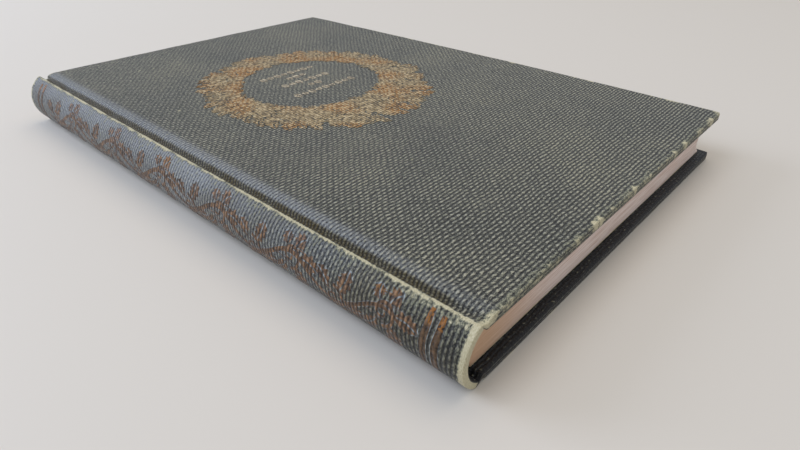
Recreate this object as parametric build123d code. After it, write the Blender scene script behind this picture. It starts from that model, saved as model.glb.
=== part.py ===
from build123d import *

import os

# A cloth-bound hardback book lying closed on its back cover.
# +X runs from the spine to the fore-edge, +Y from the tail to the head, +Z up through the front cover.
# The origin is under the middle of the book, on the surface it lies on. Sizes are in millimetres.

# Driving dimensions
cover_height = 190.0  # head to tail, over the cloth
cover_reach = 127.3  # spine ridge to the covers' fore-edge, over the cloth
pages_thickness = 10.2  # the block of pages between its endpapers
square = 2.7  # how far the covers stand out past the pages at head, tail and fore-edge
cloth = 0.4  # book cloth
board = 1.6  # cover board
paper = 0.2  # endpaper
inlay = 0.8  # card that stiffens the cloth over the spine
lining = 0.5  # gauze and paper glued on the back of the pages
spine_round = 4.5  # how far the spine stands out past its two ridges
hollow = 0.11  # between the lining and the cloth folded in over the spine's ends
fore_edge_hollow = 3.5  # how deep the pages' fore-edge is hollowed
shoulder = 1.7  # spine ridge to the edge of the pages' rounded back
ridge_width = 0.5  # flat top of each spine ridge
groove_foot = 1.8  # spine ridge to the foot of the groove's wall
joint_gap = 3.2  # spine ridge to the cover's inner edge, over the cloth
inner_round = 1.9  # rounding of the cover's inner edge, over the cloth
arris_round = 0.5  # rounding of the cover's other edges, over the cloth
turn_in = 14.0  # cloth folded over onto the covers' inner faces
spine_turn_in = 12.0  # cloth folded in at the spine's head and tail
cloth_show = 3.0  # turned-in cloth left bare round the pasted endpaper
inlay_clearance = 1.4  # the inlay's long edges stop this far inside the spine's ridges
glue = 0.03  # between glued curved layers
hinge_lift = 0.15  # each hinge line runs this far outside the ridge, along the groove
groove_line = 2.0  # spine ridge to the hinge line

# Sizes that follow
cover = cloth + board + cloth + paper  # a cover with its cloth, turn-in and pasted endpaper
thickness = pages_thickness + 2 * paper + 2 * cover
middle = thickness / 2
width = spine_round + cover_reach
ridge_x = spine_round - width / 2
spine_layers = cloth + glue + inlay + glue + cloth + hollow + lining + glue
back_round = spine_round + shoulder - spine_layers  # how far the back of the pages is rounded
fore_x = width / 2
cover_x = ridge_x + joint_gap
pages_height = cover_height - 2 * square
pages_fore_x = fore_x - square
pages_low = cover + paper
pages_top = pages_low + pages_thickness
cover_inner = thickness - cover
turn_in_face = cover_inner + paper
board_low = turn_in_face + cloth
board_top = board_low + board
spine_radius = (middle**2 + spine_round**2) / (2 * spine_round)
spine_centre = ridge_x - spine_round + spine_radius
inlay_radius = spine_radius - cloth - glue
turn_in_radius = inlay_radius - inlay - glue


def prism(section, length, y=0.0):
    """A section drawn in X and Z, run along Y for a length about y."""
    return Pos(0, y, 0) * extrude(Plane.XZ * section, length / 2, both=True)


def block(x0, x1, y, z0, z1):
    """A box between x0 and x1 and between z0 and z1, reaching y to both sides of the middle."""
    return Pos((x0 + x1) / 2, 0, (z0 + z1) / 2) * Box(x1 - x0, 2 * y, z1 - z0)


def lower(solid):
    """The same piece of the back cover: the front one turned over about the middle of the book."""
    return mirror(solid, about=Plane.XY.offset(middle))


def text_block():
    """The pages: flat faces, a rounded back and a hollow fore-edge."""
    back_x = ridge_x + shoulder
    outline = Polyline((pages_fore_x, pages_top), (back_x, pages_top))
    outline += ThreePointArc((back_x, pages_top), (back_x - back_round, middle), (back_x, pages_low))
    outline += Line((back_x, pages_low), (pages_fore_x, pages_low))
    hollow_x = pages_fore_x - fore_edge_hollow
    outline += ThreePointArc((pages_fore_x, pages_low), (hollow_x, middle), (pages_fore_x, pages_top))
    return prism(make_face(outline), pages_height)


def spine_lining():
    """The layer glued over the rounded back, as long as the pages less a little at each end."""
    back_x = ridge_x + shoulder
    half = pages_thickness / 2
    radius = (half**2 + back_round**2) / (2 * back_round)
    centre = (back_x - back_round + radius, middle)
    ring = Pos(*centre) * (Circle(radius + glue + lining) - Circle(radius + glue))
    left = Pos(back_x - back_round - lining, middle) * Rectangle(2 * back_round, 2 * half - 2 * glue)
    return prism(ring & left, pages_height - 2 * square)


def spine_ring(outer, inner):
    """A band of the spine's curve between two radii."""
    return Pos(spine_centre, middle) * (Circle(outer) - Circle(inner))


def spine_inlay():
    """The strip of card inside the spine's cloth."""
    height = thickness - 2 * inlay_clearance
    keep = Pos(ridge_x - spine_round, middle) * Rectangle(2 * spine_round + 2 * shoulder, height)
    return prism(spine_ring(inlay_radius, inlay_radius - inlay) & keep, cover_height - 2 * cloth)


def case_outline():
    """The outside of the cloth round the spine, down into both grooves and along them to the right."""
    floor = cover_inner + cloth
    right = ridge_x + 4 * joint_gap
    top = [
        (ridge_x, thickness),
        (ridge_x + ridge_width, thickness),
        (ridge_x + groove_foot, floor),
        (right, floor),
    ]
    bottom = [(x, thickness - z) for x, z in reversed(top)]
    outline = Polyline(*top, *bottom)
    outline += ThreePointArc((ridge_x, 0), (ridge_x - spine_round, middle), (ridge_x, thickness))
    return make_face(outline)


def spine_cloth():
    """The cloth over the spine and in both grooves, folded in over the inlay at the head and the tail."""
    outline = case_outline()
    inside = offset(outline, -cloth, kind=Kind.INTERSECTION)
    beyond = Pos(cover_x + 2 * width, middle) * Rectangle(4 * width, 2 * thickness)
    cloth_tube = prism(outline - inside - beyond, cover_height)
    height = thickness - 2 * inlay_clearance
    keep = Pos(ridge_x - spine_round, middle) * Rectangle(2 * spine_round + 2 * shoulder, height)
    outer = spine_radius - cloth / 2
    end_band = spine_ring(outer, inlay_radius - inlay - glue) & keep
    fold_band = spine_ring(turn_in_radius, turn_in_radius - cloth) & keep
    for side in (-1, 1):
        cloth_tube += prism(end_band, cloth / 2, side * (cover_height / 2 - cloth / 4))
        cloth_tube += prism(fold_band, spine_turn_in, side * (cover_height - spine_turn_in) / 2)
    return cloth_tube


def cover_outline(inset, low, round_inner):
    """A cover's section: a slab inset from the cloth's outside, rounded at its top inner edge."""
    x0, x1, top = cover_x + inset, fore_x - inset, thickness - inset
    radius = round_inner - inset
    outline = Polyline((x0 + radius, top), (x1, top), (x1, low), (x0, low), (x0, top - radius))
    outline += RadiusArc((x0, top - radius), (x0 + radius, top), radius)
    return make_face(outline)


def front_board():
    """The board, with its inner edge rounded along the joint."""
    return prism(cover_outline(cloth, board_low, inner_round), cover_height - 2 * cloth)


def turn_in_window():
    """The part of the front cover's inner face that the turned-in cloth leaves open."""
    return cover_x, fore_x - turn_in, cover_height / 2 - turn_in


def front_cover_cloth():
    """The cloth over the board, turned in at the head, the tail and the fore-edge."""
    cover_block = prism(cover_outline(0, turn_in_face, inner_round), cover_height)
    arrises = cover_block.edges().filter_by(Axis.Y).group_by(Axis.X)[-1]
    for end in (0, -1):
        arrises += cover_block.faces().sort_by(Axis.Y)[end].edges().filter_by(Axis.X)
    cover_block = fillet(arrises, min(arris_round, 0.9 * cloth))
    x0, x1, y = turn_in_window()
    window = block(x0 + cloth, x1, y, turn_in_face - cloth, board_low + cloth / 2)
    return cover_block - front_board() - window


def front_pastedown():
    """The pasted half of the endpaper, stepping down from the turned-in cloth onto the board."""
    x0, x1, y = turn_in_window()
    start = cover_x + cloth
    sheet = block(start, fore_x - cloth_show, cover_height / 2 - cloth_show, cover_inner, turn_in_face)
    sheet += block(start, x1, y, cover_inner, board_low)
    return sheet - block(x0 - cloth, x1 - paper, y - paper, cover_inner - paper, board_low - paper)


def front_free_endpaper():
    """The loose half of the endpaper, lying on the pages."""
    return block(ridge_x + shoulder, pages_fore_x, pages_height / 2, pages_top, cover_inner)


pieces = {
    "text_block": text_block(),
    "spine_lining": spine_lining(),
    "spine_inlay": spine_inlay(),
    "spine_cloth": spine_cloth(),
    "front_board": front_board(),
    "front_cover_cloth": front_cover_cloth(),
    "front_pastedown": front_pastedown(),
    "front_free_endpaper": front_free_endpaper(),
}
for name in ("board", "cover_cloth", "pastedown", "free_endpaper"):
    pieces["back_" + name] = lower(pieces["front_" + name])

os.makedirs("parts", exist_ok=True)
for name, solid in pieces.items():
    export_step(solid, f"parts/{name}.step")

hinge_x = ridge_x + groove_line
print(f"front hinge line: x {hinge_x:.3f}, z {thickness + hinge_lift:.3f}")
print(f"back hinge line: x {hinge_x:.3f}, z {-hinge_lift:.3f}")
print(f"size: {width:.3f} x {cover_height:.3f} x {thickness:.3f}")
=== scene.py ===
from math import cos, pi, radians, sin, tau

import bpy
import numpy as np
from mathutils import Matrix, Vector


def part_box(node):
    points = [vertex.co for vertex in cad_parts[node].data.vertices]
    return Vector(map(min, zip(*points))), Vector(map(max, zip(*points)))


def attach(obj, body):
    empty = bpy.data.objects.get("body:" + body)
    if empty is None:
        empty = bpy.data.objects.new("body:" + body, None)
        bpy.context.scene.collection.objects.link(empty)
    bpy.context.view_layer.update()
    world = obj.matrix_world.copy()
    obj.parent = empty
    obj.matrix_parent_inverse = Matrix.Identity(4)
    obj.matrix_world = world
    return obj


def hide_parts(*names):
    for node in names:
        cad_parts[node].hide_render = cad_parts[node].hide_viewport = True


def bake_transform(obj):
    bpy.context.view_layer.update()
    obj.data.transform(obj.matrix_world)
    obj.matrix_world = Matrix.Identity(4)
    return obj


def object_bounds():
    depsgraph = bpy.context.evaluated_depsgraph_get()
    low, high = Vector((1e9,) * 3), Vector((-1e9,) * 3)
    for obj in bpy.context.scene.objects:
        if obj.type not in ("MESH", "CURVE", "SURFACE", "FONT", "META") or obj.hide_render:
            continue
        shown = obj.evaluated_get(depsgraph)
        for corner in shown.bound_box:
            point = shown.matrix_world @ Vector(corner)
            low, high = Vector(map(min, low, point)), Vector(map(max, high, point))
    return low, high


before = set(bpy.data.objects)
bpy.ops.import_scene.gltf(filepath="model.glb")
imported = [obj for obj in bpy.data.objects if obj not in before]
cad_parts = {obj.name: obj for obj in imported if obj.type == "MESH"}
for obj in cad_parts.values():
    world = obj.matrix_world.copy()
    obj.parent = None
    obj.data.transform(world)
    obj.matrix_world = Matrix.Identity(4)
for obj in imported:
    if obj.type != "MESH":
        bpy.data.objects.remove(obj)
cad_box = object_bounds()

# A worn cloth-bound hardback, closed on its back cover. Lengths are in metres, the frame is the solids'.
MM = 0.001

# Where the solids lie
case_low, case_high = (np.array(c, float) for c in (cad_box[0], cad_box[1]))
cover_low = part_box("front_cover_cloth")[0]
leaf_low, leaf_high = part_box("front_free_endpaper")
block_low, block_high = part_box("text_block")
TOP = case_high[2]
MIDDLE = TOP / 2
TAIL, HEAD = case_low[1], case_high[1]
FORE = case_high[0]

# Sizes of the case's finish
SPINE_ROUND = 4.5 * MM
RIDGE = case_low[0] + SPINE_ROUND
SPINE_RADIUS = (MIDDLE**2 + SPINE_ROUND**2) / (2 * SPINE_ROUND)
SPINE_CENTRE = case_low[0] + SPINE_RADIUS
RIDGE_ANGLE = np.arcsin(MIDDLE / SPINE_RADIUS)
INNER_FACE = cover_low[2]  # the turned-in cloth's face, under the front board
CLOTH = 0.35 * MM
EDGE = 0.5 * MM  # how far the covers' edges round over
GROOVE = 1.9 * MM  # depth of the joint's groove
GROOVE_RISE = 2.6 * MM  # ridge to the foot of the board's rounded edge
GROOVE_END = 5.4 * MM  # ridge to the flat of the board
TWIST = 2.7 * MM  # how far the front board's head and fore-edge corner has warped down
BEND_END = 3.7 * MM  # ridge to where it is stiff on the board
CAP = 1.65 * MM  # thickness of the spine's cloth, card and turned-in cloth
TURN_IN = 14.0 * MM
PASTED_MARGIN = 3.0 * MM
FORE_HOLLOW = 3.5 * MM  # how deep the pages' fore-edge is hollowed
FOIL = 0.05 * MM
RIM = 0.2  # millimetres that the pressed rim stands out round the spine's ornament

# Threads of the book cloth: weft runs along X, warp along Y
WARP_PITCH = 0.96 * MM
WEFT_PITCH = 1.06 * MM
THREAD_RELIEF = 0.24 * MM


# ---------------------------------------------------------------- meshes


def ease(low, high, x):
    """0 before low, 1 after high, and 3t^2 - 2t^3 between."""
    t = np.clip((x - low) / (high - low), 0, 1)
    return t * t * (3 - 2 * t)


def ripple(x, y, seed, length, waves=7):
    """About -1 to 1: the mean of sine waves in random directions, about length long."""
    rng = np.random.default_rng(seed)
    total = 0
    for _ in range(waves):
        turn, phase, k = rng.uniform(0, tau), rng.uniform(0, tau), rng.uniform(0.6, 1.6)
        total = total + np.sin(tau * k / length * (x * cos(turn) + y * sin(turn)) + phase)
    return total / waves**0.5


def grid_faces(rows, cols):
    """Quads of a grid of rows by cols points, stored row by row."""
    first = (np.arange(rows - 1)[:, None] * cols + np.arange(cols - 1)).ravel()
    return np.stack([first, first + 1, first + cols + 1, first + cols], 1)


def add_piece(name, points, faces, material, uv=None, masks=(), thickness=None, flip=False, smooth=True):
    """A mesh with its thread coordinates, its masks as attributes, and a wall if it has a thickness."""
    mesh = bpy.data.meshes.new(name)
    faces = np.asarray(faces)
    if flip:
        faces = faces[:, ::-1]
    mesh.from_pydata(np.asarray(points, float).reshape(-1, 3).tolist(), [], faces.tolist())
    if uv is not None:
        layer = mesh.uv_layers.new(name="threads")
        corner = np.empty(len(mesh.loops), np.int32)
        mesh.loops.foreach_get("vertex_index", corner)
        layer.uv.foreach_set("vector", np.asarray(uv, np.float32).reshape(-1, 2)[corner].ravel())
    for mask, values in dict(masks).items():
        attribute = mesh.attributes.new(mask, "FLOAT", "POINT")
        attribute.data.foreach_set("value", np.asarray(values, np.float32).ravel())
    mesh.polygons.foreach_set("use_smooth", np.full(len(mesh.polygons), smooth))
    mesh.materials.append(material)
    mesh.update()
    piece = bpy.data.objects.new(name, mesh)
    bpy.context.scene.collection.objects.link(piece)
    if thickness:
        wall = piece.modifiers.new("wall", "SOLIDIFY")
        wall.thickness, wall.offset, wall.use_even_offset = thickness, -1, False
    return piece


def cube_grid(ns, nt, nw):
    """The closed surface of a unit cube as a grid: points (s, t, w) from 0 to 1, and quads facing
    outwards."""
    points, faces, count = [], [], 0
    sizes = (ns, nt, nw)
    for fixed, u, v in ((0, 1, 2), (1, 2, 0), (2, 0, 1)):
        for side in (0, 1):
            a, b = np.meshgrid(np.linspace(0, 1, sizes[u] + 1), np.linspace(0, 1, sizes[v] + 1))
            face = np.zeros((a.size, 3))
            face[:, u], face[:, v], face[:, fixed] = a.ravel(), b.ravel(), side
            quads = grid_faces(sizes[v] + 1, sizes[u] + 1) + count
            points.append(face)
            faces.append(quads if side else quads[:, ::-1])
            count += len(face)
    points, faces = np.concatenate(points), np.concatenate(faces)
    place = np.round(points * 1e4).astype(int)
    _, first, same = np.unique(place, axis=0, return_index=True, return_inverse=True)
    return points[first], same.ravel()[faces]


# ---------------------------------------------------------------- the case's shape


def twist(x, y):
    """How far the warped front board sinks: in proportion to the distance from the joint, and more and
    more steeply from tail to head."""
    across = np.clip((x - RIDGE - GROOVE_END) / (FORE - RIDGE - GROOVE_END), 0, 1.02)
    return TWIST * across * np.clip((y - TAIL) / (HEAD - TAIL), 0, 1) ** 1.7


def groove(x, y):
    """How deep the joint's groove is: it falls from the ridge over 1.6 mm, runs level, then rises round
    the board's edge as a quarter of a superellipse. The turned-in cloth partly fills it at the tail."""
    d = x - RIDGE
    rise = np.clip((GROOVE_END - d) / (GROOVE_END - GROOVE_RISE), 0, 1)
    depth = np.where(d < GROOVE_RISE, ease(0.2 * MM, 1.8 * MM, d), 1 - (1 - rise**2.4) ** (1 / 2.4))
    ends = (0.35 + 0.65 * ease(0.0, 11 * MM, y - TAIL)) * (0.8 + 0.2 * ease(0.0, 5 * MM, HEAD - y))
    return GROOVE * depth * ends


def cover_top(x, y, seed=20):
    """Height of the front cover's outer face before the warp: slightly uneven, with the groove along the
    joint."""
    return TOP - groove(x, y) + 0.03 * MM * ripple(x, y, seed, 18 * MM) * ease(0, 3 * MM, x - RIDGE)


def ridge_wobble(y, seed):
    """The worn ridge wanders a little along the spine."""
    return 0.10 * MM * ripple(y, 0 * y, seed, 24 * MM) * ease(0, 6 * MM, y - TAIL) * ease(0, 6 * MM, HEAD - y)


def u_turn(steps):
    """A squarish half turn: how far it has come round, from 0 to 1, and how far it stands out, 0 to 1 and
    back."""
    angle = np.linspace(0, pi, steps + 1)
    round_by = (1 - np.sign(np.cos(angle)) * np.abs(np.cos(angle)) ** 0.55) / 2
    return round_by, np.abs(np.sin(angle)) ** 0.55


ROWS_Y = np.linspace(TAIL + EDGE, HEAD - EDGE, 165)
TURN = u_turn(12)
COVER_X = np.concatenate([
    RIDGE + np.linspace(0, GROOVE_END + 1 * MM, 26),
    np.linspace(RIDGE + GROOVE_END + 2 * MM, FORE - EDGE - 2 * MM, 92),
    np.linspace(FORE - EDGE - 1.5 * MM, FORE - EDGE, 4),
])


def round_corners(x, y, radius=0.8 * MM):
    """Square corners at the fore-edge become round: a point past the corner's arc moves towards its
    centre."""
    dx = x - (FORE - radius)
    for edge, way in ((TAIL, -1), (HEAD, 1)):
        dy = (y - edge) * way + radius
        out = (dx > 0) & (dy > 0)
        shrink = np.where(out, np.maximum(dx, dy) / np.maximum(np.hypot(dx, dy), 1e-9), 1)
        x = np.where(out, FORE - radius + dx * shrink, x)
        y = np.where(out, edge + way * (dy * shrink - radius), y)
        dx = x - (FORE - radius)
    return x, y


def cover_sheet(seed, twisted):
    """The cloth from the ridge to the fore-edge, turned in at the tail, fore-edge and head. The outer
    face is a grid in x and y. Its three outer sides are carried on by a half turn round the board's edge
    and then along the inner face, where t (1 - exp(-reach / t)) at a distance t from a corner makes the
    mitres. Returns points, quads, thread coordinates and masks, for the front cover."""
    y, x = np.meshgrid(ROWS_Y, COVER_X, indexing="ij")
    rows, cols = x.shape
    z = cover_top(x, y, seed)
    start = np.clip(1 - (x - RIDGE) / (1.2 * MM), 0, 1)
    shift = ridge_wobble(y, seed + 7) * start
    top = np.stack([x, y, z - np.abs(shift)], -1)
    across = x - RIDGE + np.cumsum(np.diff(z, axis=1, prepend=z[:, :1]) ** 2, axis=1) / (0.4 * MM)
    threads = np.stack([across / WARP_PITCH, y / WEFT_PITCH], -1)
    # The boundary, counterclockwise: the tail's edge, the fore-edge, the head's edge
    index = np.arange(rows * cols).reshape(rows, cols)
    loop = np.concatenate([index[0, :], index[1:, -1], index[-1, -2::-1]])
    out = np.concatenate([
        np.tile([0, -1], (cols, 1)), np.tile([1, 0], (rows - 1, 1)), np.tile([0, 1], (cols - 1, 1)),
    ]).astype(float)
    out[cols - 1] = (1, -1)
    out[cols - 1 + rows - 1] = (1, 1)
    edge = top.reshape(-1, 3)[loop]
    d = edge[:, 0] - RIDGE
    near_ridge = 1 - ease(0, 2.4 * MM, d)
    inner = edge.copy()
    inner[:, 0] += 0.51 * CAP * near_ridge
    inner[:, 2] = INNER_FACE + (TOP - 0.86 * CAP - INNER_FACE) * near_ridge
    points, uvs, wraps = [top.reshape(-1, 3)], [threads.reshape(-1, 2)], []
    base = threads.reshape(-1, 2)[loop]
    edge_rows = []
    for came_round, stands_out in zip(TURN[0][1:], TURN[1][1:]):
        row = edge + (inner - edge) * came_round
        row[:, :2] += out * EDGE * stands_out
        edge_rows.append((row, came_round * 3 * MM + EDGE * 0.5, came_round))
    run = np.concatenate([[0], np.cumsum(np.hypot(*np.diff(edge[:, :2], axis=0).T))])
    corner_runs = run[cols - 1], run[cols + rows - 2]
    to_corner = 0.98 * np.minimum(np.abs(run - corner_runs[0]), np.abs(run - corner_runs[1])) + 0.05 * MM
    for reach in np.array([1.0, 2.5, 5.0, 9.0, 14.0]) * MM:
        inward = to_corner * (1 - np.exp(-reach / to_corner))
        row = inner.copy()
        row[:, :2] -= out * inward[:, None]
        row[:, 0] = np.maximum(row[:, 0], inner[:, 0].min())
        edge_rows.append((row, 3.5 * MM + inward[:, None], 1.0))
    for row, travelled, came_round in edge_rows:
        points.append(row)
        uvs.append(base + out * travelled / np.array([WARP_PITCH, WEFT_PITCH]))
        wraps.append(np.full(len(row), came_round))
    count = len(edge_rows)
    n = len(loop)
    rings = np.concatenate([loop[None], rows * cols + np.arange(count * n).reshape(count, n)])
    strip = np.stack([rings[:-1, :-1], rings[1:, :-1], rings[1:, 1:], rings[:-1, 1:]], -1).reshape(-1, 4)
    faces = np.concatenate([grid_faces(rows, cols), strip])
    points, uvs = np.concatenate(points), np.concatenate(uvs)
    points[:, 0], points[:, 1] = round_corners(points[:, 0], points[:, 1])
    if twisted:
        points[:, 2] -= twist(points[:, 0], points[:, 1])
    turned = np.concatenate([np.zeros(rows * cols)] + wraps)
    return points, faces, uvs, turned


def edge_wear(points, turned, strength):
    """How worn the cloth is, from 0 to 1: it falls off from each edge. strength gives each edge's wear as
    a function of the place along it, and the corners are bare."""
    x, y = points[:, 0], points[:, 1]
    d = x - RIDGE
    tail = np.exp(-np.maximum(y - TAIL - EDGE, 0) / (0.8 * MM)) * strength["tail"](x)
    head = np.exp(-np.maximum(HEAD - EDGE - y, 0) / (0.4 * MM)) * strength["head"](x)
    fore = np.exp(-np.maximum(FORE - EDGE - x, 0) / (0.5 * MM)) * strength["fore"](y)
    ridge = np.exp(-np.maximum(d, 0) / (0.3 * MM)) * strength["ridge"](y)
    corners = (  # x, y, size in millimetres
        (FORE, TAIL, 2.4), (FORE, HEAD, 1.8), (RIDGE + 1.5 * MM, TAIL, 1.8), (RIDGE + 1 * MM, HEAD, 1.2),
    )
    corner = sum(np.exp(-(np.hypot(x - cx, y - cy) / (size * MM)) ** 2) for cx, cy, size in corners)
    edges = np.max([tail, head, fore, corner], axis=0) * (1 - ease(0.6, 0.95, turned))
    return np.maximum(edges, ridge * (turned < 0.9))


# ---------------------------------------------------------------- materials


def linear(hex_colour):
    """An sRGB hex colour as linear RGBA."""
    channels = [int(hex_colour[i:i + 2], 16) / 255 for i in (1, 3, 5)]
    return [c / 12.92 if c <= 0.04045 else ((c + 0.055) / 1.055) ** 2.4 for c in channels] + [1]


def node(tree, kind, inputs=None, **settings):
    """Adds a node. inputs maps an input's name or number to a value, or to an output to link from."""
    n = tree.nodes.new("ShaderNode" + kind)
    for name, value in settings.items():
        setattr(n, name, value)
    for key, value in (inputs or {}).items():
        if isinstance(value, bpy.types.NodeSocket):
            tree.links.new(value, n.inputs[key])
        else:
            n.inputs[key].default_value = value
    return n


def maths(tree, operation, *values, clamp=False):
    """The output of a Math node over its values."""
    return node(tree, "Math", dict(enumerate(values)), operation=operation, use_clamp=clamp).outputs[0]


def mixed(tree, factor, a, b, way="MIX"):
    """Colours a and b mixed by a factor."""
    a, b = (linear(c) if isinstance(c, str) else c for c in (a, b))
    n = node(tree, "Mix", {0: factor, 6: a, 7: b}, data_type="RGBA", blend_type=way)
    return n.outputs[2]


def between(tree, value, low, high):
    """0 where value is under low, 1 over high, smooth between."""
    inputs = {0: value, 1: low, 2: high, 3: 0.0, 4: 1.0}
    return node(tree, "MapRange", inputs, interpolation_type="SMOOTHSTEP").outputs[0]


def stretched(tree, vector, by):
    """A vector multiplied by another, so that a pattern is squeezed along the larger numbers."""
    return node(tree, "VectorMath", {0: vector, 1: by}, operation="MULTIPLY").outputs[0]


def noise(tree, vector, scale, detail=2.0, rough=0.5):
    """Noise from 0 to 1 with scale cells to a unit of the vector."""
    inputs = {"Vector": vector, "Scale": scale, "Detail": detail, "Roughness": rough}
    return node(tree, "TexNoise", inputs).outputs[0]


def material(name):
    """A new material with only its shader, and the tree, the shader and Object coordinates."""
    m = bpy.data.materials.new(name)
    m.use_nodes = True
    tree = m.node_tree
    shader = tree.nodes["Principled BSDF"]
    place = node(tree, "TexCoord").outputs["Object"]
    return m, tree, shader, place


def attribute(tree, name):
    """One of a piece's masks."""
    return node(tree, "Attribute", attribute_name=name, attribute_type="GEOMETRY").outputs["Fac"]


def plain_weave(tree, threads):
    """The height of a weft-faced plain weave from 0 to 1, threads being 1 wide. Each thread is round
    across and goes over and under in turn, so its height is a power of |sin| of the place across it times
    a half sine along it, of the other sign in the next thread. The weft is prouder than the warp and
    shows as ribs along X."""
    split = node(tree, "SeparateXYZ", {0: threads})
    a = maths(tree, "SINE", maths(tree, "MULTIPLY", split.outputs[0], pi))
    b = maths(tree, "SINE", maths(tree, "MULTIPLY", split.outputs[1], pi))
    weft_over = maths(tree, "MULTIPLY_ADD", maths(tree, "MULTIPLY", a, maths(tree, "SIGN", b)), 0.22, 0.78)
    warp_over = maths(tree, "MULTIPLY_ADD", maths(tree, "MULTIPLY", b, maths(tree, "SIGN", a)), -0.3, 0.32)
    weft = maths(tree, "MULTIPLY", maths(tree, "POWER", maths(tree, "ABSOLUTE", b), 1.2), weft_over)
    warp = maths(tree, "MULTIPLY", maths(tree, "POWER", maths(tree, "ABSOLUTE", a), 0.8), warp_over)
    return maths(tree, "MAXIMUM", weft, warp)


def cloth_layers(tree, place):
    """The woven cloth's colour, height, and the speckle that breaks up whatever lies on it."""
    uv = node(tree, "UVMap", uv_map="threads").outputs[0]
    wander = node(tree, "TexNoise", {"Vector": uv, "Scale": 0.2, "Detail": 2.0}).outputs["Color"]
    shifted = node(tree, "VectorMath", {0: wander, 1: (0.5, 0.5, 0.5)}, operation="SUBTRACT").outputs[0]
    push = {0: shifted, 1: (1.6, 1.2, 0.0), 2: uv}
    pushed = node(tree, "VectorMath", push, operation="MULTIPLY_ADD").outputs[0]
    weave = plain_weave(tree, pushed)
    slub = noise(tree, stretched(tree, pushed, (0.55, 1.0, 1.0)), 1.2, 2.0, 0.6)
    fleck = noise(tree, stretched(tree, pushed, (1.5, 5.0, 1.0)), 1.3, 2.0, 0.6)
    speckle = noise(tree, uv, 0.8, 3.0, 0.6)
    blotch = noise(tree, place, 40.0, 4.0, 0.6)
    height = maths(tree, "MULTIPLY", weave, maths(tree, "MULTIPLY_ADD", slub, 1.2, 0.35))
    broken = maths(tree, "MULTIPLY_ADD", fleck, 2.1, maths(tree, "MULTIPLY_ADD", speckle, 0.3, height))
    lit = maths(tree, "MULTIPLY_ADD", blotch, 0.3, broken)
    faded_and_highlit = attribute(tree, "faded_and_highlit")
    # Thread crowns: grey where this mask is high, partly rubbing and partly painted highlight; near-black
    # where it is low, painted shade on cloth lying in shadow.
    rubbed_and_lit = attribute(tree, "rubbed_and_lit")
    crown = mixed(tree, rubbed_and_lit, "#141416", mixed(tree, speckle, "#3d3d36", "#5b5b51"))
    colour = mixed(tree, between(tree, lit, 1.54, 1.8), "#0f1012", crown)
    # Whitish flecks on the thread crests: partly worn threads and partly painted glints of light.
    flecks_and_glints = maths(tree, "MULTIPLY", between(tree, lit, 1.95, 2.3), rubbed_and_lit)
    colour = mixed(tree, flecks_and_glints, colour, mixed(tree, blotch, "#a9a99d", "#b1a988"))
    # Pale bluish grey on the crowns: partly fading and partly a painted highlight where the sheen falls.
    pale = maths(tree, "MULTIPLY", faded_and_highlit, between(tree, lit, 1.35, 1.8))
    colour = mixed(tree, pale, colour, "#93979b")
    # Dark olive-brown: in the joint's groove partly stain and partly painted shade in the recess; on the
    # spine only dirt.
    soiled_and_shaded = maths(tree, "MULTIPLY", attribute(tree, "soil_and_shade"), 1.05, clamp=True)
    colour = mixed(tree, soiled_and_shaded, colour, mixed(tree, between(tree, broken, 1.3, 2.1), "#1e170c", "#62552f"))
    bare = maths(tree, "ADD", attribute(tree, "wear"), maths(tree, "MULTIPLY_ADD", speckle, 1.5, -0.75))
    bare = maths(tree, "MULTIPLY_ADD", broken, 0.4, maths(tree, "ADD", bare, -0.64))
    worn = between(tree, bare, 0.45, 0.8)
    fibres = mixed(tree, between(tree, fleck, 0.3, 0.7), "#aba27f", "#d0c7a6")
    colour = mixed(tree, between(tree, bare, 0.2, 0.6), colour, mixed(tree, fleck, "#55574a", "#96967c"))
    colour = mixed(tree, worn, colour, fibres)
    return colour, height, speckle, blotch, worn


def finish_cloth(tree, shader, colour, height, rough, worn):
    """Matt threads with a starched sheen, in relief."""
    tree.links.new(colour, shader.inputs["Base Color"])
    flattened = maths(tree, "MULTIPLY", height, maths(tree, "MULTIPLY_ADD", worn, -0.88, 1.0))
    bump = node(tree, "Bump", {"Height": flattened, "Distance": THREAD_RELIEF, "Strength": 1.0})
    tree.links.new(bump.outputs[0], shader.inputs["Normal"])
    shader.inputs["Roughness"].default_value = rough
    shader.inputs["Specular IOR Level"].default_value = 0.35
    shader.inputs["Sheen Weight"].default_value = 0.08
    shader.inputs["Sheen Roughness"].default_value = 0.4


def book_cloth():
    """Starched cotton canvas, dyed blue-black after weaving: the crowns of the threads are grey, partly
    rubbed and partly a painted highlight, and near-black as painted shade where the cloth lies in shadow; the
    hollows between them stay nearly black. Edges are worn to the cream cotton."""
    m, tree, shader, place = material("book canvas, starched and rubbed")
    colour, height, _, _, worn = cloth_layers(tree, place)
    finish_cloth(tree, shader, colour, height, 0.56, worn)
    return m


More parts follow.
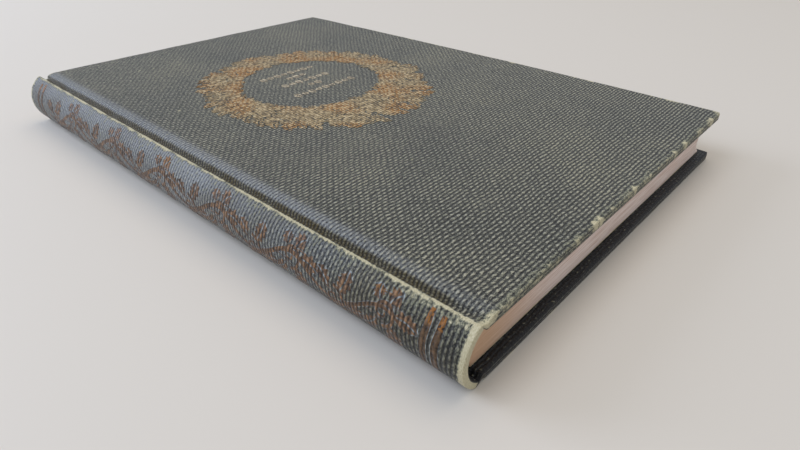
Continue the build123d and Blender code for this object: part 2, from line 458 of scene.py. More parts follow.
def stamped(name, low, mid, high, shade, cover):
    """Pigment foil stamped into the canvas. It sits on the threads and is lost from the hollows and in
    patches, where the cloth shows. Where the tint is high it has kept its orange. Its grain carries painted
    highlights and painted shade."""
    m, tree, shader, place = material(name)
    cloth, height, speckle, blotch, worn = cloth_layers(tree, place)
    grain = noise(tree, place, 800.0, 3.0, 0.75)
    tint = maths(tree, "SUBTRACT", attribute(tree, "tint"), 0.8)
    kept_orange = maths(tree, "MULTIPLY_ADD", blotch, 1.6, tint)
    foil = mixed(tree, between(tree, kept_orange, 0.35, 0.75), mid, low)
    # Painted highlight and painted shade: the foil takes its high colour where grain and thread height are
    # high, and its shade colour where they are low.
    lit = maths(tree, "MULTIPLY_ADD", grain, 1.5, maths(tree, "MULTIPLY", height, 0.5))
    foil = mixed(tree, between(tree, lit, 1.06, 1.22), foil, high)
    foil = mixed(tree, between(tree, lit, 0.78, 0.95), shade, foil)
    held = maths(tree, "MULTIPLY_ADD", height, 0.25, maths(tree, "MULTIPLY_ADD", grain, 0.9, speckle))
    held = maths(tree, "MULTIPLY_ADD", attribute(tree, "inside"), 0.4, held)
    kept = between(tree, held, cover, cover + 0.25)
    kept = maths(tree, "MULTIPLY", kept, maths(tree, "MULTIPLY_ADD", worn, -0.9, 1.0))
    colour = mixed(tree, kept, cloth, foil)
    finish_cloth(tree, shader, colour, height, 0.55, worn)
    return m


def pressed_rim():
    """Canvas at the rim of a stamped line: pressed proud by the die and rubbed pale and bluish."""
    m, tree, shader, place = material("book canvas, rubbed pale")
    cloth, height, speckle, _, worn = cloth_layers(tree, place)
    broken = maths(tree, "MULTIPLY_ADD", height, 0.5, speckle)
    colour = mixed(tree, maths(tree, "MULTIPLY", between(tree, broken, 0.5, 1.0), 0.7), cloth, "#8f979c")
    finish_cloth(tree, shader, colour, height, 0.55, worn)
    return m


def page_edges():
    """Cut edges of aged book paper: thin sheets pressed together, pinkish tan, browner near the spine."""
    m, tree, shader, place = material("aged paper, cut edges")
    lines = noise(tree, stretched(tree, place, (1.0, 1.0, 55.0)), 55.0, 2.0, 0.6)
    finer = noise(tree, stretched(tree, place, (1.0, 1.0, 40.0)), 160.0)
    shade = maths(tree, "MULTIPLY_ADD", finer, 0.4, maths(tree, "MULTIPLY", lines, 0.6))
    colour = mixed(tree, between(tree, shade, 0.36, 0.62), "#dabdab", "#f6e4d8")
    browner_near_spine = attribute(tree, "browner_near_spine")
    colour = mixed(tree, browner_near_spine, colour, mixed(tree, shade, "#b58761", "#dcb48a"))
    tree.links.new(colour, shader.inputs["Base Color"])
    bump = node(tree, "Bump", {"Height": shade, "Distance": 0.1 * MM, "Strength": 0.5})
    tree.links.new(bump.outputs[0], shader.inputs["Normal"])
    shader.inputs["Roughness"].default_value = 0.85
    shader.inputs["Specular IOR Level"].default_value = 0.25
    return m


def aged_paper(name, pale, toned, spots):
    """Uncoated wove paper, toned with age in clouds and freckled with foxing."""
    m, tree, shader, place = material(name)
    clouds = noise(tree, place, 22.0, 4.0, 0.6)
    fibre = noise(tree, place, 900.0, 3.0, 0.7)
    colour = mixed(tree, between(tree, clouds, 0.35, 0.7), pale, toned)
    foxing = between(tree, noise(tree, place, 160.0, 1.0, 0.4), 0.70, 0.78)
    colour = mixed(tree, maths(tree, "MULTIPLY", foxing, 0.5), colour, spots)
    colour = mixed(tree, maths(tree, "MULTIPLY", fibre, 0.12), colour, toned)
    tree.links.new(colour, shader.inputs["Base Color"])
    bump = node(tree, "Bump", {"Height": fibre, "Distance": 0.05 * MM, "Strength": 0.4})
    tree.links.new(bump.outputs[0], shader.inputs["Normal"])
    shader.inputs["Roughness"].default_value = 0.8
    shader.inputs["Specular IOR Level"].default_value = 0.3
    return m


def fibrous(name, dark, light, scale, rough):
    """Pulped or woven stock that is hidden in the case: speckled fibres."""
    m, tree, shader, place = material(name)
    fibre = noise(tree, place, scale, 4.0, 0.7)
    tree.links.new(mixed(tree, between(tree, fibre, 0.35, 0.65), dark, light), shader.inputs["Base Color"])
    bump = node(tree, "Bump", {"Height": fibre, "Distance": 0.1 * MM, "Strength": 0.5})
    tree.links.new(bump.outputs[0], shader.inputs["Normal"])
    shader.inputs["Roughness"].default_value = rough
    return m


canvas = book_cloth()
gilt = stamped("bronze foil, stamped", "#96692a", "#8a7650", "#c9b48c", "#3a342b", 0.8)
rubbed_gilt = stamped("bronze foil, rubbed pale", "#9a7f52", "#a39377", "#d9cbae", "#4a4438", 0.66)
brown_foil = stamped("brown foil, stamped and faded", "#85591f", "#5e4631", "#93704f", "#2b2119", 0.66)
rule_foil = stamped("brown foil, stamped", "#8c5a1c", "#543f2a", "#6b5137", "#2b2119", 0.4)
pale_rim = pressed_rim()
pages = page_edges()
endpaper = aged_paper("aged wove endpaper", "#d8c8a4", "#c2ab82", "#8f6a3c")
mill_board = fibrous("grey mill board", "#5d5240", "#8b7d63", 1500.0, 0.9)
card = fibrous("manila card", "#8b7452", "#a98f68", 1200.0, 0.85)
gauze = fibrous("glued gauze", "#8d7d5d", "#cbbd97", 2400.0, 0.8)

# ---------------------------------------------------------------- covers


def patchy(values, seed, length, low, high):
    """A wandering strength between low and high along an edge."""
    return low + (high - low) * (0.5 + 0.5 * np.clip(ripple(values, 0 * values, seed, length) * 1.3, -1, 1))


def chips(x, places, level):
    """A steady level of wear with bare chips at places, each a position and a length in millimetres."""
    return level + sum(0.8 * np.exp(-((x - at * MM) / (length * MM / 2)) ** 2) for at, length in places)


TAIL_CHIPS = ((-18, 2.2), (-15, 1), (3, 1), (29, 1.4), (36, 1.2), (58, 2))
FORE_CHIPS = ((-80, 4), (-52, 2), (-20, 2), (31, 3), (66, 2))
BACK_CHIPS = ((-50, 3), (-33, 2), (-8, 1), (11, 2), (40, 2))
FRONT_WEAR = {
    "tail": lambda x: np.maximum(
        chips(x, TAIL_CHIPS, patchy(x, 3, 11 * MM, 0.28, 0.52)),
        0.85 * (1 - ease(RIDGE + 3.5 * MM, RIDGE + 7 * MM, x)),
    ),
    "head": lambda x: patchy(x, 4, 14 * MM, 0.1, 0.5),
    "fore": lambda y: chips(y, FORE_CHIPS, patchy(y, 5, 12 * MM, 0.15, 0.5)),
    "ridge": lambda y: patchy(y, 6, 9 * MM, 0.75, 1.35),
}
BACK_WEAR = {
    "tail": lambda x: chips(x, BACK_CHIPS, patchy(x, 12, 9 * MM, 0.2, 0.5)),
    "head": lambda x: patchy(x, 14, 14 * MM, 0.1, 0.6),
    "fore": lambda y: patchy(y, 15, 12 * MM, 0.2, 0.7),
    "ridge": lambda y: patchy(y, 16, 16 * MM, 0.7, 1.1),
}


def over(points):
    """The front cover's points turned over onto the back cover."""
    points = points.copy()
    points[:, 2] = TOP - points[:, 2]
    return points


def scuffs(x, y):
    """Pale scuffs rubbed on the front cover: long spots that fall off as a Gauss curve along and across."""
    spots = (  # x, y, length and width in millimetres, and turn in degrees
        (-21, 71.5, 8, 0.4, -22), (-14, 68.5, 5, 0.35, -20), (-9, 66.5, 3.5, 0.4, -24),
        (-34, 75, 3, 0.35, 10), (-29, 73.5, 2.2, 0.3, -15), (53, 23.3, 2.6, 0.4, 10),
        (54, -2.9, 2.2, 0.4, 20), (45, 48, 1.6, 0.4, 0), (-45, 30, 1.3, 0.4, 0),
        (20, -52, 1.5, 0.4, 15), (-22, -45, 1.4, 0.35, 40),
    )
    total = 0 * x
    for sx, sy, length, width, turn in spots:
        c, s = cos(radians(turn)), sin(radians(turn))
        dx, dy = x - sx * MM, y - sy * MM
        along, away = (dx * c + dy * s) / (length * MM / 2), (dy * c - dx * s) / (width * MM)
        total = np.maximum(total, 0.8 * np.exp(-(along**2) - away**2))
    return total


def case_cloth(name, seed, wear_by, front):
    """One cover's cloth, with its part of the joint."""
    points, faces, threads, turned = cover_sheet(seed, front)
    x, y = points[:, 0], points[:, 1]
    d = x - RIDGE
    # The groove's channel, less at the tail: partly stain and partly painted shade in the recess.
    soil_and_shade = ease(0.2 * MM, 0.7 * MM, d) * (1 - ease(2.9 * MM, 3.5 * MM, d)) * (turned < 0.5)
    soil_and_shade = soil_and_shade * (0.25 + 0.75 * ease(2 * MM, 16 * MM, y - TAIL)) * (0.8 + 0.2 * ripple(x, y, 8, 9 * MM))
    # Turned-in cloth gets near-black thread crowns: painted shade inside the case.
    rubbed_and_lit = 1 - 0.95 * ease(0.6, 0.9, turned)
    # A pale band along the board's rounded edge by the groove, stronger towards the head: partly fading and
    # partly a painted highlight.
    faded_and_highlit = 0.5 * ease(2.8 * MM, 3.5 * MM, d) * (1 - ease(5.0 * MM, 7.0 * MM, d)) * (turned < 0.3)
    faded_and_highlit = faded_and_highlit * (0.3 + 0.7 * ease(-90 * MM, -40 * MM, y))
    wear = edge_wear(points, turned, wear_by)
    if front:
        wear = np.maximum(wear, scuffs(x, y) * (turned < 0.1))
    else:
        # The back cover's edges, under the front cover, get near-black crowns too: painted shade.
        rubbed_and_lit = rubbed_and_lit * (1 - 0.85 * ease(0.0, 0.15, turned))
        wear = wear * (1 - ease(0.05, 0.3, turned))
        points = over(points)
    masks = {"soil_and_shade": soil_and_shade, "wear": wear, "rubbed_and_lit": rubbed_and_lit, "faded_and_highlit": faded_and_highlit}
    return add_piece(name, points, faces, canvas, threads, masks, CLOTH, flip=not front)


def board_shape(x, y, z):
    """Follows the cover's outer face a cloth's thickness inside it."""
    outer = TOP - groove(x, y) - 0.5 * MM
    return x, y, np.minimum(z, outer) - twist(x, y)


def pastedown_shape(x, y, z):
    """Lies on the turned-in cloth round its edges and steps down onto the board inside them."""
    inside = np.minimum.reduce([FORE - TURN_IN - x, y - TAIL - TURN_IN, HEAD - TURN_IN - y])
    return x, y, z + 0.33 * MM * ease(0, 1.0 * MM, inside) - twist(x, y)


def leaf_shape(x, y, z):
    """A sheet lying on the pages, under the warped cover."""
    return x, y, z - twist(x, y)


def joint_paper():
    """The endpaper's fold in the joint: a strip under the board, round the fold and back over the pages."""
    angle = np.linspace(-pi / 2, pi / 2, 33)
    reach, fold = 2.0 * MM, 0.055 * MM
    bulge = 0.3 * MM - 0.3 * MM * np.cos(angle)
    path_x = leaf_low[0] + 0.15 * MM + np.concatenate([[reach, reach / 2], bulge, [reach / 2, reach]])
    path_z = leaf_high[2] + np.concatenate([[-fold, -fold], fold * np.sin(angle), [fold, fold]])
    rows_y = np.linspace(block_low[1], block_high[1], 60)
    y, along = np.meshgrid(rows_y, np.arange(len(path_x)), indexing="ij")
    points = np.stack([path_x[along], y, path_z[along]], -1)
    return points, grid_faces(*along.shape)


# ---------------------------------------------------------------- stamped ornament


def strips(path, low, high):
    """Strips along paths of (count, steps, 2) points, from low to high to the left of each. Returns
    points of (count, steps, 3, 2) and how far inside its strip each is, from 0 at the edges and ends to
    1."""
    way = np.gradient(path, axis=1)
    way /= np.linalg.norm(way, axis=2, keepdims=True)
    left = np.stack([-way[..., 1], way[..., 0]], -1)
    share = np.array([0, 0.5, 1.0])
    offset = low[..., None] + (high - low)[..., None] * share
    points = path[:, :, None] + left[:, :, None] * offset[..., None]
    inside = np.array([0, 1, 0]) * np.ones(points.shape[:3])
    inside[:, [0, -1]] = 0
    return points, inside


def for_each(places, *values):
    """Each value as an array with one number for each place."""
    return [np.broadcast_to(np.asarray(value, float), len(places)) for value in values]


def leaves(base, angle, length, width, bend=0.0, lobes=0, depth=0.0, gap=0.0, grow=0.0, steps=13):
    """Leaves in millimetres, each a strip to both sides of its midrib. The midrib turns by bend along its
    length. Its half width is width sin(pi t)^0.75 (1 + depth cos(2 pi lobes t)), less a gap along the
    midrib."""
    base = np.atleast_2d(base).astype(float)
    angle, length, width, bend = for_each(base, angle, length, width, bend)
    t = (1 - np.cos(np.linspace(0.12, pi - 0.12, steps))) / 2
    turn = angle[:, None] + bend[:, None] * (t - 0.3)
    step = np.stack([np.cos(turn), np.sin(turn)], -1) * (length[:, None] + 2 * grow)[..., None] / steps
    speed = np.sin(np.linspace(0.12, pi - 0.12, steps)) * pi / 2
    path = base[:, None] + np.cumsum(step * speed[None, :, None], axis=1) - step[:, :1] * speed[0]
    half = (width[:, None] + grow) * np.sin(pi * t) ** 0.75 * (1 + depth * np.cos(tau * lobes * t)) + 0.03
    if gap <= grow:
        return [strips(path, -half, half)]
    inner = np.minimum(gap - grow, 0.6 * half)
    return [strips(path, inner, half), strips(path, -half, -inner)]


def curls(centre, start, radius, turns, half, grow=0.0, steps=44):
    """Spiral strips in millimetres: the radius shrinks from its full size to a sixth, and so does half
    the width."""
    centre = np.atleast_2d(centre).astype(float)
    start, radius, turns = for_each(centre, start, radius, turns)
    t = np.linspace(0, 1, steps)
    r = radius[:, None] * (1 - 0.84 * t**0.85)
    a = start[:, None] + tau * turns[:, None] * t
    path = centre[:, None] + np.stack([np.cos(a), np.sin(a)], -1) * r[..., None]
    wide = (half + grow) * np.broadcast_to(1 - 0.45 * t, r.shape) + 0.02
    return [strips(path, -wide, wide)]


def rings(centre, radius, half, grow=0.0, steps=19):
    """Ring berries in millimetres, closed on themselves."""
    centre = np.atleast_2d(centre).astype(float)
    a = np.linspace(0, tau, steps)
    (radius,) = for_each(centre, radius)
    path = centre[:, None] + np.stack([np.cos(a), np.sin(a)], -1) * radius[:, None, None]
    wide = np.full(path.shape[:2], half + grow)
    return [strips(path, -wide, wide)]


def runs(path, half, grow=0.0):
    """One strip along a path of points in millimetres, tapering at its ends."""
    path = np.asarray(path, float)[None]
    taper = np.sin(np.linspace(0.25, pi - 0.25, path.shape[1])) ** 0.35
    wide = (half + grow) * taper[None]
    return [strips(path, -wide, wide)]


def lay(name, groups, surface, lift, stuff, body, tint):
    """Lays groups of strips on a surface as one piece of foil. surface(u, v, lift) takes and gives
    metres. Overlapping strips differ in lift by a few microns. tint(u, v) in millimetres gives how orange
    the foil is."""
    points, inside, faces, count = [], [], [], 0
    for number, (patch, within) in enumerate(groups):
        many, steps, across = patch.shape[:3]
        ends = count + np.arange(many)[:, None, None] * steps * across
        faces.append((ends + grid_faces(steps, across)[None]).reshape(-1, 4))
        layer = (np.arange(many) * 5 + number * 3) % 11
        flat = patch * MM
        above = lift + 0.0018 * MM * np.broadcast_to(layer[:, None, None], flat.shape[:3])
        points.append(np.stack(surface(flat[..., 0], flat[..., 1], above), -1).reshape(-1, 3))
        inside.append(within.ravel())
        count += many * steps * across
    flat = np.concatenate([patch.reshape(-1, 2) for patch, _ in groups]) * MM
    on_back = surface is on_spine
    across = flat[:, 0] if on_back else flat[:, 0] - RIDGE
    threads = np.stack([across / WARP_PITCH, flat[:, 1] / WEFT_PITCH], -1)
    colour = np.zeros(len(flat)) if tint is None else tint(flat[:, 0] / MM, flat[:, 1] / MM)
    masks = {"inside": np.concatenate(inside), "rubbed_and_lit": np.ones(len(flat)), "tint": colour}
    points, faces = np.concatenate(points), np.concatenate(faces)
    piece = add_piece(name, points, faces, stuff, threads, masks, FOIL, flip=on_back, smooth=False)
    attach(piece, body)


def on_cover(x, y, lift):
    """Points of the front cover's outer face, raised by lift."""
    return x, y, cover_top(x, y) - twist(x, y) + lift


def on_spine(s, y, lift):
    """Points of the spine's outer face: s is the length of arc from its middle, towards the front ridge."""
    radius = SPINE_RADIUS + lift + spine_ripple(s, y)
    return SPINE_CENTRE - radius * np.cos(s / SPINE_RADIUS), y, MIDDLE + radius * np.sin(s / SPINE_RADIUS)


def spine_ripple(s, y):
    """The spine's cloth is slightly uneven, and less so towards its ridges."""
    return 0.03 * MM * ripple(s, y, 31, 16 * MM) * (1 - (np.abs(s) / (RIDGE_ANGLE * SPINE_RADIUS)) ** 4)


def wreath():
    """A garland of lobed leaves, curls and berries in a ring. A place in it is an angle and a share of
    the way from the inner ellipse to the outer one."""
    rng = np.random.default_rng(11)

    def place(angle, share):
        inner = np.stack([0.7 + 23.4 * np.cos(angle), 21.4 + 21.8 * np.sin(angle)], -1)
        outer = np.stack([-0.3 + 36.6 * np.cos(angle), 17.6 + 40.5 * np.sin(angle)], -1)
        return inner + (outer - inner) * np.asarray(share)[..., None]

    def spread(count):
        return (np.arange(count) + rng.uniform(-0.25, 0.25, count)) * tau / count

    out = []
    rows = (  # count, share where it starts, lean from outwards, length, half width, bend
        (46, 0.48, 0.55, 8.8, 1.65, -0.7), (42, 0.42, -0.75, 8.0, 1.5, 0.7), (50, 0.14, 1.15, 7.8, 1.5, -0.6),
        (46, 0.28, -1.3, 7.2, 1.4, 0.6), (40, 0.46, 2.5, 6.8, 1.35, 0.7), (38, 0.32, -2.4, 5.6, 1.25, -0.7),
        (52, 0.66, 0.2, 6.6, 1.15, 0.8), (36, 0.70, -0.5, 5.8, 1.0, -0.8), (44, 0.56, 1.9, 6.4, 1.2, 0.5),
    )
    for count, share, lean, length, width, bend in rows:
        angle = spread(count)
        cusp = 0.07 * np.abs(np.sin(4.5 * angle + 0.6)) - 0.04
        base = place(angle, share * (1 + cusp) + rng.uniform(-0.05, 0.05, count))
        band = 1 + 0.28 * np.maximum(-np.sin(angle), 0) + 2.4 * cusp * (share > 0.4)
        size = band * rng.uniform(0.82, 1.12, count)
        out += leaves(base, angle + lean, length * size, width * size, bend, 4, 0.34, 0.26)
    angle = spread(26)
    turns = np.where(np.arange(26) % 2, 1.3, -1.3)
    out += curls(place(angle, 0.5), angle + 1.5, rng.uniform(2.0, 2.8, 26), turns, 0.34)
    angle = spread(34)
    out += rings(place(angle, rng.uniform(0.12, 0.92, 34)), rng.uniform(0.55, 0.8, 34), 0.26)
    angle = np.linspace(0, tau, 260)
    for share, sway in ((0.3, 0.0), (0.66, 2.0)):
        out += runs(place(angle, share + 0.07 * np.sin(17 * angle + sway)), 0.4)
    return out


def lozenges():
    """Rows of small lozenges and dots in the middle of the wreath."""
    out = []
    for row, (y, width) in enumerate(((33.5, 24.0), (28.6, 9.0), (23.4, 21.0), (18.6, 6.0), (13.0, 28.0))):
        count = max(int(round(width / 3)), 2)
        x = 0.4 + (np.arange(count) - (count - 1) / 2) * 3
        tall = np.where(np.arange(count) % 2 == row % 2, 3.6, 2.4)
        base = np.stack([x, y - tall / 2], -1)
        out += leaves(base, pi / 2, tall, 1.2, gap=0.2)
    return out


def vine(grow):
    """The spine's scrolling vine between its rules, at twice the same turn in each 27.4 mm: a wavy stem,
    a curl in each bend with leaves round it, strands and ring berries. u is the arc in millimetres and v
    runs along Y."""
    out = []
    period = 27.4
    v = np.linspace(-80.5, 80.5, 330)
    sway = tau * v / period
    out += runs(np.stack([0.4 + 2.9 * np.sin(sway), v], -1), 0.6, grow)
    for shift, rise in ((0.7, 1.5), (-0.9, -1.7)):
        out += runs(np.stack([0.4 + rise + 2.6 * np.sin(sway + shift), v], -1), 0.14, grow * 0.8)
    turns = np.arange(-6, 6) + 0.5
    at = turns * period / 2
    side = np.where(np.arange(12) % 2, 1.0, -1.0)
    inside = np.abs(at) < 79
    at, side = at[inside], side[inside]
    centre = np.stack([0.4 - 2.0 * side, at], -1)
    out += curls(centre, np.where(side > 0, 0.0, pi), 3.4, -1.25 * side, 0.42, grow)
    low = np.arange(6) * period - 80 + 3.2
    out += rings(np.stack([0 * low - 5.0, low], -1), 1.15, 0.36, grow)
    for angle, reach, length, width in (
        (0.5, 2.6, 6.2, 1.8), (1.5, 2.6, 6.4, 1.6), (2.6, 2.6, 6.0, 1.7),
        (-0.5, 2.4, 5.6, 1.4), (-2.5, 2.4, 5.4, 1.4),
    ):
        heading = np.where(side > 0, pi, 0) + angle * side
        base = centre + reach * np.stack([np.cos(heading), np.sin(heading)], -1)
        length = np.where(np.abs(base[:, 0] + length * np.cos(heading)) > 7.6, 0.55 * length, length)
        out += leaves(base, heading, length, width, 0.9 * side, 4, 0.3, 0.2, grow)
    return out


def rules(grow):
    """Double rules across the spine near its tail and its head."""
    out = []
    for v in (-88.3, -85.5, 85.5, 88.3):
        u = np.linspace(-9.1, 8.3 - 0.4 * (abs(v) > 86), 50)
        out += runs(np.stack([u, v + 0.08 * np.sin(u)], -1), 0.82, grow)
    return out


# ---------------------------------------------------------------- build


def half_case(side):
    """A cover's cloth, board, pasted endpaper, free endpaper and joint paper."""
    front = side == "front"
    body = f"{side}_cover"
    seed, wear_by = (20, FRONT_WEAR) if front else (60, BACK_WEAR)

    def placed(shape):
        """The front's shape, or the same turned over and without the warp."""
        def place_point(x, y, z):
            px, py, pz = shape(x, y, z)
            return (px, py, pz) if front else (px, py, TOP - pz - twist(x, y))
        return place_point

    def build(name, box, sizes, shape, stuff, node_name, rides):
        """A box of points put into shape, in place of a solid's node."""
        low, high = box
        cube, faces = cube_grid(*sizes)
        x, y, z = (low[i] + cube[:, i] * (high[i] - low[i]) for i in range(3))
        points = np.stack(placed(shape)(x, y, z), 1)
        piece = add_piece(f"{side}_{name}", points, faces, stuff, flip=not front)
        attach(piece, rides)
        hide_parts(f"{side}_{node_name}")

    cloth_piece = case_cloth(f"{side}_case_cloth", seed, wear_by, front)
    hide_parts(f"{side}_cover_cloth")
    start = RIDGE + BEND_END
    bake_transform(cloth_piece)
    board_low = (start, TAIL + 0.6 * MM, INNER_FACE + 0.42 * MM)
    board_high = (FORE - 0.6 * MM, HEAD - 0.6 * MM, TOP - 0.42 * MM)
    box = board_low, board_high
    build("mill_board", box, (60, 80, 3), board_shape, mill_board, "board", body)
    paste_low = (start, TAIL + PASTED_MARGIN, leaf_high[2])
    paste_high = (FORE - PASTED_MARGIN, HEAD - PASTED_MARGIN, INNER_FACE - 0.03 * MM)
    for name, box, sizes, shape, node_name, rides in (
        ("pasted_endpaper", (paste_low, paste_high), (110, 150, 1), pastedown_shape, "pastedown", body),
        ("loose_endpaper", (leaf_low, leaf_high), (60, 80, 1), leaf_shape, "free_endpaper", "text_block"),
    ):
        build(name, box, sizes, shape, endpaper, node_name, rides)
    points, faces = joint_paper()
    points = points.reshape(-1, 3)
    if not front:
        points = over(points)
    fold = add_piece(f"{side}_endpaper_fold", points, faces, endpaper, thickness=0.04 * MM, flip=not front)
    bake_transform(fold)


def spine_case():
    """The cloth over the spine: an arc from the back ridge to the front ridge, carried along Y, with a
    half turn at the tail and the head over the card and 12 mm of turned-in cloth inside."""
    angle = np.linspace(-RIDGE_ANGLE, RIDGE_ANGLE, 41)
    inner_y = np.array([12.0, 8.0, 4.0, 1.5]) * MM
    low_end, high_end = TAIL + EDGE, HEAD - EDGE
    low_turn, high_turn = low_end - EDGE * TURN[1][:0:-1], high_end + EDGE * TURN[1][1:]
    y = np.concatenate([low_end + inner_y, low_turn, ROWS_Y, high_turn, high_end - inner_y[::-1]])
    depth = CAP * np.concatenate([[1, 1, 1, 1], TURN[0][:0:-1], 0 * ROWS_Y, TURN[0][1:], [1, 1, 1, 1]])
    y, phi = np.meshgrid(y, angle, indexing="ij")
    depth = np.broadcast_to(depth[:, None], y.shape)
    by_ridge = np.clip(1 - (RIDGE_ANGLE - np.abs(phi)) * SPINE_RADIUS / (1.2 * MM), 0, 1)
    worn_ridge = ridge_wobble(y, 27) * by_ridge
    s = phi * SPINE_RADIUS
    radius = SPINE_RADIUS - depth + spine_ripple(s, y)
    x = SPINE_CENTRE - radius * np.cos(phi)
    z = MIDDLE + radius * np.sin(phi) - np.sign(phi) * np.abs(worn_ridge) * (phi > 0)
    points = np.stack([x, y, z], -1)
    travel = np.concatenate([[0], np.cumsum(np.hypot(np.diff(y[:, 0]), np.diff(depth[:, 0])))])
    travel -= travel[len(travel) // 2]
    threads = np.stack([s / WARP_PITCH, np.broadcast_to(travel[:, None], phi.shape) / WEFT_PITCH], -1)
    from_ridge = RIDGE_ANGLE * SPINE_RADIUS - s
    from_low_ridge = (RIDGE_ANGLE + phi) * SPINE_RADIUS
    turned = depth / CAP
    outside = 1 - ease(0.75, 1.0, turned)
    tail_end = np.exp(-np.maximum(y - low_end, 0) / (0.7 * MM))
    head_end = 0.75 * np.exp(-np.maximum(high_end - y, 0) / (0.6 * MM))
    ends = np.where(y < 0, 1.25, 1) * (tail_end + head_end)
    ridge = np.exp(-from_ridge / (0.5 * MM)) * patchy(y, 6, 9 * MM, 0.65, 1.3)
    smear = 0.5 * np.exp(-from_ridge / (2.2 * MM)) * patchy(y, 8, 11 * MM, 0.0, 1.0)
    smear = smear + 0.75 * np.exp(-from_ridge / (3.2 * MM) - (y - TAIL) / (14 * MM))
    low = np.exp(-from_low_ridge / (1.2 * MM)) * patchy(y, 9, 18 * MM, 0.1, 0.8)
    wear = np.max([ends * outside, ridge, smear, low], axis=0) * np.where(turned > 0.99, 0, 1)
    masks = {
        "soil_and_shade": 0.3 * patchy(y + phi * 9 * MM, 10, 22 * MM, 0, 1) * outside,
        "wear": wear,
        # Painted shade: the crowns darken inside the cap, towards the tail and on the spine's lower side.
        "rubbed_and_lit": np.where(turned > 0.95, 0.06, 0.4 + 0.6 * ease(-85 * MM, -35 * MM, y + 3 * s)),
        # Paler towards the head and near the front ridge: partly fading and partly a painted highlight on the
        # spine's upper side.
        "faded_and_highlit": (0.38 + 0.4 * np.exp(-from_ridge / (5 * MM))) * ease(-85 * MM, 0 * MM, y) * outside,
    }
    piece = add_piece("spine_case_cloth", points, grid_faces(*y.shape), canvas, threads, masks, CLOTH)
    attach(piece, "text_block")
    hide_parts("spine_cloth")


def page_block():
    """The pages: a cube's surface mapped so that z runs through the sheets, x from the rounded back to
    the hollow fore-edge and y from tail to head. Each layer of sheets stands out a little more or less
    than the next."""
    layers = 60
    cube, faces = cube_grid(70, 100, layers)
    s, t, w = cube.T
    rng = np.random.default_rng(5)
    uneven = rng.normal(0, 1, (3, layers + 1))
    uneven = (uneven + np.roll(uneven, 1, 1)) * 0.5
    layer = np.clip(np.round(w * layers).astype(int), 0, layers)
    inner = np.sin(pi * np.clip(w, 0.0, 1.0)) ** 0.3
    bulge = 1 - (2 * w - 1) ** 2
    back_x = leaf_low[0] - (leaf_low[0] - block_low[0]) * bulge
    fore_x = block_high[0] - FORE_HOLLOW * bulge + 0.05 * MM * uneven[0][layer] * inner
    x = back_x + s * (fore_x - back_x)
    half = block_high[1] - 0.02 * MM
    end = half - 0.07 * MM * np.abs(uneven[1][layer]) * inner
    y = (2 * t - 1) * end
    y = y + 0.05 * MM * ripple(x, w * 40 * MM, 12, 30 * MM) * (np.abs(2 * t - 1) > 0.99)
    z = block_low[2] + w * (block_high[2] - block_low[2] - twist(x, y))
    # Darker and browner towards the spine.
    browner_near_spine = 1 - ease(2 * MM, 34 * MM, x - leaf_low[0])
    piece = add_piece("page_block", np.stack([x, y, z], 1), faces, pages, masks={"browner_near_spine": browner_near_spine * 0.85})
    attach(piece, "text_block")
    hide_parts("text_block")


half_case("front")
half_case("back")
spine_case()
page_block()
for name, ornament, surface, lift, stuff, body, tint in (
    (
        "wreath_foil", wreath(), on_cover, 0.02 * MM, gilt, "front_cover",
        lambda x, y: 0.52 + 0.25 * np.sin(x / 3.3 + 1) * np.sin(y / 4.1),
    ),
    ("lozenge_foil", lozenges(), on_cover, 0.02 * MM, rubbed_gilt, "front_cover", lambda x, y: -0.4 + 0 * x),
    ("vine_rim", vine(RIM), on_spine, 0.005 * MM, pale_rim, "text_block", None),
    ("vine_foil", vine(0), on_spine, 0.03 * MM, brown_foil, "text_block", lambda s, y: 0.5 * ease(3, 7, s)),
    ("rule_rim", rules(RIM), on_spine, 0.005 * MM, pale_rim, "text_block", None),
    ("rule_foil", rules(0), on_spine, 0.03 * MM, rule_foil, "text_block", lambda s, y: ease(4, 6.5, s)),
):
    lay(name, ornament, surface, lift, stuff, body, tint)
for name, stuff in (("spine_lining", gauze), ("spine_inlay", card)):
    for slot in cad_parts[name].material_slots:
        slot.material = stuff


# ---------------------------------------------------------------- floor, light and camera


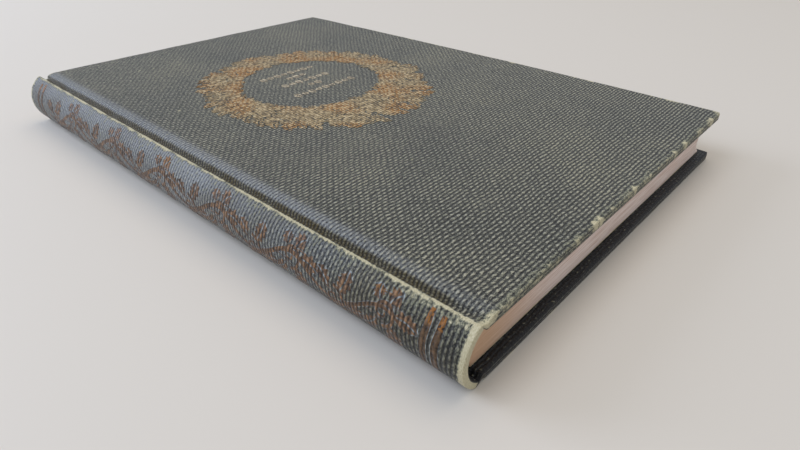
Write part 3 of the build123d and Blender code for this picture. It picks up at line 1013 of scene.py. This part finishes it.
def stage():
    """A pale matt table top under soft light from a window behind and to the left."""
    mesh = bpy.data.meshes.new("table")
    size = 3.0
    corners = [(-size, -size, 0), (size, -size, 0), (size, size, 0), (-size, size, 0)]
    mesh.from_pydata(corners, [], [(0, 1, 2, 3)])
    table = bpy.data.objects.new("table", mesh)
    bpy.context.scene.collection.objects.link(table)
    m, tree, shader, _ = material("painted table, matt")
    shader.inputs["Base Color"].default_value = linear("#d5cec2")
    shader.inputs["Roughness"].default_value = 0.55
    shader.inputs["Specular IOR Level"].default_value = 0.3
    mesh.materials.append(m)
    world = bpy.data.worlds.new("room")
    bpy.context.scene.world = world
    world.use_nodes = True
    background = world.node_tree.nodes["Background"]
    background.inputs[0].default_value = linear("#e3eaf6")
    background.inputs[1].default_value = 0.62
    for name, place, size, power, colour in (
        ("window", (-0.42, 0.78, 0.42), 0.5, 4.6, "#d6e3ff"),
        ("far window", (-0.6, 0.3, 0.95), 0.6, 4.2, "#dfe9ff"),
        ("room light", (0.4, 0.0, 1.1), 0.9, 3.8, "#ffecd0"),
    ):
        lamp = bpy.data.lights.new(name, "AREA")
        lamp.size, lamp.energy, lamp.color = size, power, linear(colour)[:3]
        thing = bpy.data.objects.new(name, lamp)
        bpy.context.scene.collection.objects.link(thing)
        thing.location = place
        thing.rotation_euler = (-Vector(place)).to_track_quat("-Z", "Y").to_euler()


def camera():
    """Looks at the tail of the spine from close by: its direction from azimuth and elevation, then a
    small roll."""
    azimuth, elevation, roll = radians(-48.3), radians(33.4), radians(0.16)
    height = HEAD - TAIL
    centre = np.array([(RIDGE + FORE) / 2 - 0.166 * height, -0.250 * height, 0])
    back = np.array([sin(azimuth) * cos(elevation), -cos(azimuth) * cos(elevation), sin(elevation)])
    eye = centre + back * 0.815 * height
    right = np.cross([0, 0, 1], back)
    right /= np.linalg.norm(right)
    up = np.cross(back, right)
    right, up = cos(roll) * right + sin(roll) * up, cos(roll) * up - sin(roll) * right
    data = bpy.data.cameras.new("camera")
    data.sensor_width, data.lens = 36, 582 / 800 * 36
    data.clip_start, data.clip_end = 0.005, 20
    thing = bpy.data.objects.new("camera", data)
    bpy.context.scene.collection.objects.link(thing)
    axes = np.eye(4)
    axes[:3, 0], axes[:3, 1], axes[:3, 2], axes[:3, 3] = right, up, back, eye
    thing.matrix_world = Matrix(axes.tolist())
    bpy.context.scene.camera = thing


stage()
camera()
bpy.context.scene.view_settings.view_transform = "Standard"
